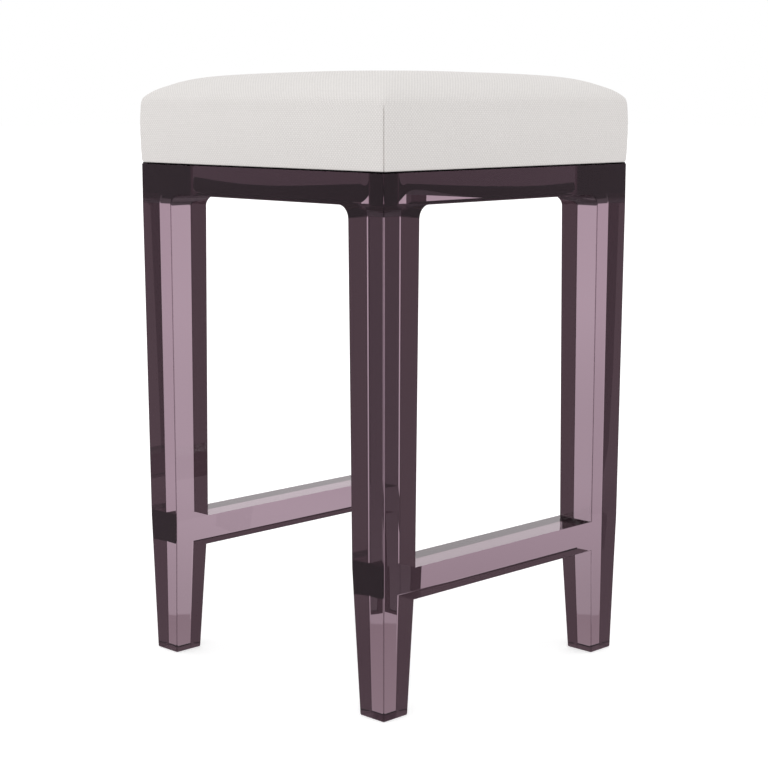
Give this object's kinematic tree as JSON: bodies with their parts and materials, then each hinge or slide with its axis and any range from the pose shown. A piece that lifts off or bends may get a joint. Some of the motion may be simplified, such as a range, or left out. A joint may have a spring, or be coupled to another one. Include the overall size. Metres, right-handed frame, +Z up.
{
  "type": "counter stool",
  "caption": "Square backless counter stool: solid tinted clear acrylic frame with tapered legs, side stretchers and an apron, under a tight, domed, fabric covered seat.",
  "frame": {"origin": "on the floor under the middle of the seat", "axes": "+Z up, +Y towards the back of the seat; the stretchers run along Y on the -X and +X sides, and the open front faces -Y"},
  "size_m": [0.3888, 0.3888, 0.6559],
  "materials": {
    "acrylic": "polished solid acrylic, tinted a smoky plum, clear enough to see through",
    "black_felt": "thin black felt strip",
    "plywood": "unfinished birch plywood",
    "foam": "open cell upholstery foam",
    "wadding": "soft polyester fibre wadding",
    "cover_fabric": "off-white basket weave fabric, pulled tight",
    "black_cambric": "thin black non-woven dust cover",
    "zinc": "zinc plated steel"
  },
  "bodies": {
    "root": {"front_left_leg": "acrylic", "front_right_leg": "acrylic", "back_left_leg": "acrylic", "back_right_leg": "acrylic", "front_rail": "acrylic", "back_rail": "acrylic", "left_rail": "acrylic", "right_rail": "acrylic", "left_stretcher": "acrylic", "right_stretcher": "acrylic", "seat_felt": "black_felt", "seat_board": "plywood", "foam_core": "foam", "wadding": "wadding", "seat_cover": "cover_fabric", "dust_cover": "black_cambric", "hem_staples": "zinc"}
  },
  "joints": []
}
